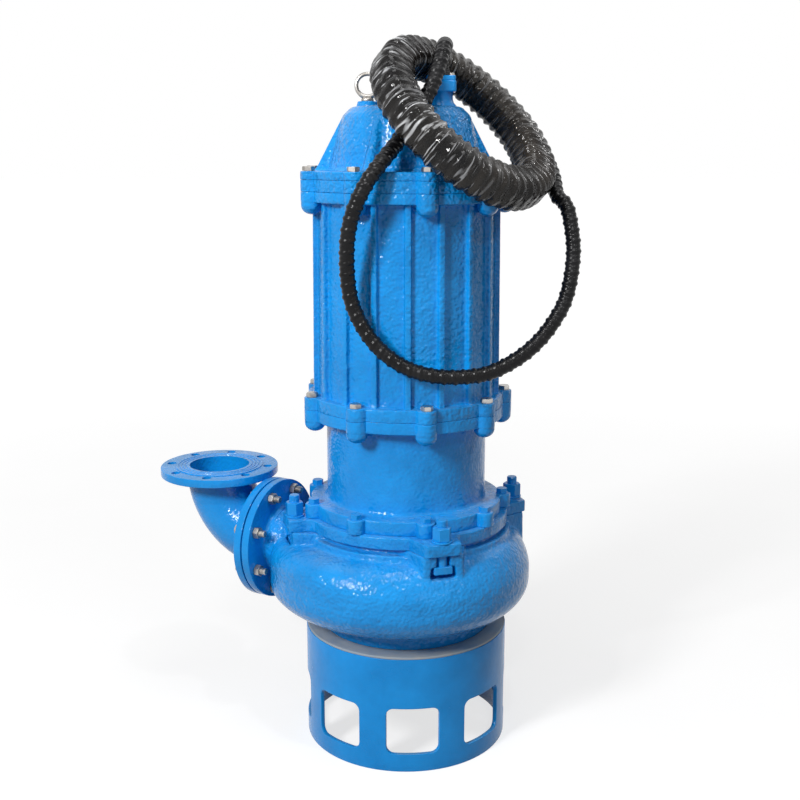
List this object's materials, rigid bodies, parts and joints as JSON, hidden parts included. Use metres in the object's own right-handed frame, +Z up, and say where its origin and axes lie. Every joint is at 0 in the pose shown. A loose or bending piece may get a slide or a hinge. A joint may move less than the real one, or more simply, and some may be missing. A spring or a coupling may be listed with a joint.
{
  "type": "submersible slurry pump",
  "caption": "Upright submersible slurry pump on a windowed strainer, with a volute, flanged discharge elbow, ribbed motor and a coiled power cable.",
  "frame": {"origin": "middle of the footprint of the pump without its cable, on the floor", "axes": "+Z up along the shaft, +X to the right and -Y to the viewer of the picture; the discharge elbow points to -X and turns up"},
  "size_m": [0.9771, 0.603, 1.6354],
  "materials": {
    "blue_enamel": "glossy blue enamel sprayed over rough castings, with fine dust on level faces",
    "zinc_steel": "bright plated fasteners, slightly dulled",
    "machined_steel": "turned steel with fine rings",
    "grey_iron": "bare grey cast iron, matte",
    "winding_copper": "varnished copper wire",
    "black_rubber": "matte sheet rubber",
    "black_conduit": "satin black ribbed conduit over a rubber-sheathed cable",
    "wrapped_conduit": "the same conduit in turns, wrapped in clear glossy film",
    "seal_ceramic": "lapped dark ceramic"
  },
  "bodies": {
    "pump": {"strainer_skirt": "blue_enamel", "suction_plate": "grey_iron", "volute_casing": "blue_enamel", "discharge_elbow": "blue_enamel", "discharge_gasket": "black_rubber", "discharge_bolt_1": "zinc_steel", "discharge_bolt_2": "zinc_steel", "discharge_bolt_3": "zinc_steel", "discharge_bolt_4": "zinc_steel", "discharge_bolt_5": "zinc_steel", "discharge_bolt_6": "zinc_steel", "discharge_bolt_7": "zinc_steel", "discharge_bolt_8": "zinc_steel", "casing_cover": "blue_enamel", "tee_bolt_1": "blue_enamel", "tee_bolt_2": "blue_enamel", "tee_bolt_3": "blue_enamel", "tee_bolt_4": "blue_enamel", "seal_housing": "blue_enamel", "motor_frame": "blue_enamel", "base_bolt_1": "zinc_steel", "base_bolt_2": "zinc_steel", "base_bolt_3": "zinc_steel", "base_bolt_4": "zinc_steel", "base_bolt_5": "zinc_steel", "base_bolt_6": "zinc_steel", "base_bolt_7": "zinc_steel", "base_bolt_8": "zinc_steel", "base_bolt_9": "zinc_steel", "upper_end_shield": "blue_enamel", "top_cover": "blue_enamel", "cover_bolt_1": "zinc_steel", "cover_bolt_2": "zinc_steel", "cover_bolt_3": "zinc_steel", "cover_bolt_4": "zinc_steel", "cover_bolt_5": "zinc_steel", "cover_bolt_6": "zinc_steel", "cover_bolt_7": "zinc_steel", "cover_bolt_8": "zinc_steel", "cover_bolt_9": "zinc_steel", "lifting_eye_left": "zinc_steel", "lifting_eye_back": "zinc_steel", "cable_gland": "blue_enamel", "cable_run": "black_conduit", "cable_coil": "wrapped_conduit", "lower_outer_race": "machined_steel", "upper_outer_race": "machined_steel", "stator_core": "grey_iron", "stator_winding": "winding_copper", "seal_seat": "seal_ceramic"},
    "rotor": {"pump_shaft": "machined_steel", "rotor_core": "grey_iron", "lower_inner_race": "machined_steel", "upper_inner_race": "machined_steel", "impeller": "grey_iron", "seal_head": "machined_steel", "agitator": "grey_iron", "agitator_nut": "zinc_steel"},
    "lower_cage": {"lower_ball_cage": "machined_steel"},
    "upper_cage": {"upper_ball_cage": "machined_steel"}
  },
  "joints": [
    {"name": "shaft_spin", "type": "hinge", "parent": "pump", "child": "rotor", "pos_m": [0.154, 0.011, 0.8], "axis": [0, 0, 1], "continuous": true},
    {"name": "lower_cage_spin", "type": "hinge", "parent": "pump", "child": "lower_cage", "pos_m": [0.154, 0.011, 0.7935], "axis": [0, 0, 1], "continuous": true},
    {"name": "upper_cage_spin", "type": "hinge", "parent": "pump", "child": "upper_cage", "pos_m": [0.154, 0.011, 1.3065], "axis": [0, 0, 1], "continuous": true}
  ],
  "couplings": [
    {"joint": "lower_cage_spin", "follows": "shaft_spin", "ratio": 0.42},
    {"joint": "upper_cage_spin", "follows": "shaft_spin", "ratio": 0.42}
  ]
}
